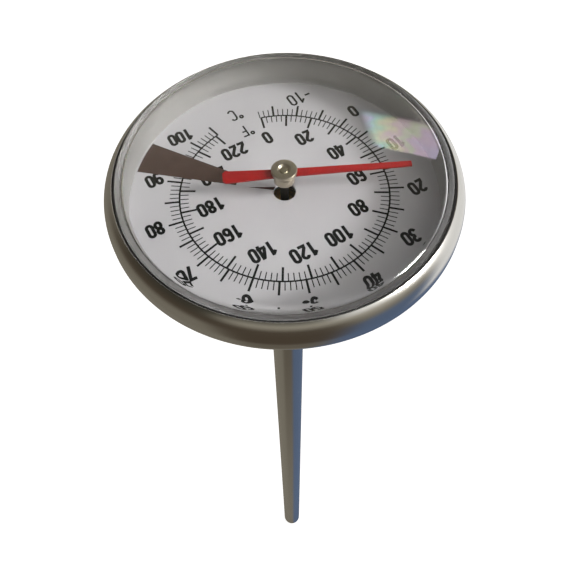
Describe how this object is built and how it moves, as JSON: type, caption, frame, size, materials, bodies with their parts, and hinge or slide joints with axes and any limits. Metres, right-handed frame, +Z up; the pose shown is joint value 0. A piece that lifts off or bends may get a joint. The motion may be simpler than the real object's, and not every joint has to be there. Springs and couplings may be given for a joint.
{
  "type": "dial thermometer probe",
  "caption": "Bimetal dial thermometer: a round steel head with a raised clear lens and a turning pointer, on a long plain probe stem.",
  "frame": {"origin": "the end of the probe stem, on its centre line", "axes": "+Z runs up the stem to the dial, which faces +Z; +Y is the dial's top, at twelve o'clock, and +X is at three o'clock"},
  "size_m": [0.051, 0.051, 0.2326],
  "materials": {
    "satin_steel": "satin stainless steel",
    "case_steel": "drawn stainless steel",
    "clear_lens": "clear moulded polycarbonate, polished",
    "black_rubber": "soft black rubber",
    "white_dial": "white enamel with a printed black scale",
    "red_pointer": "satin red paint",
    "nickel": "nickel plate",
    "brass": "turned brass",
    "bimetal": "two-layer bimetal strip",
    "fibre": "pressed red-brown fibre"
  },
  "bodies": {
    "stem": {"stem_tube": "satin_steel", "tip_plug": "satin_steel", "bimetal_coil": "bimetal", "stem_bushing": "case_steel", "friction_washer": "fibre", "disc_spring": "case_steel", "calibration_nut": "case_steel", "lower_guide_bush": "brass", "middle_guide_bush": "brass", "upper_guide_bush": "brass"},
    "head": {"case_cup": "case_steel", "dial_plate": "white_dial", "lens": "clear_lens", "lens_gasket": "black_rubber", "bezel_ring": "satin_steel"},
    "pointer": {"spindle": "case_steel", "spindle_collar": "brass", "pointer_hub": "nickel", "pointer": "red_pointer", "hub_cap": "nickel"}
  },
  "joints": [
    {"name": "calibration_turn", "type": "hinge", "parent": "stem", "child": "head", "pos_m": [0, 0, 0.222], "axis": [0, 0, 1], "continuous": true},
    {"name": "pointer_turn", "type": "hinge", "parent": "stem", "child": "pointer", "pos_m": [0, 0, 0.23], "axis": [0, 0, -1], "range_deg": [-99, 231], "stiffness_Nm_per_rad": 0.0005}
  ]
}
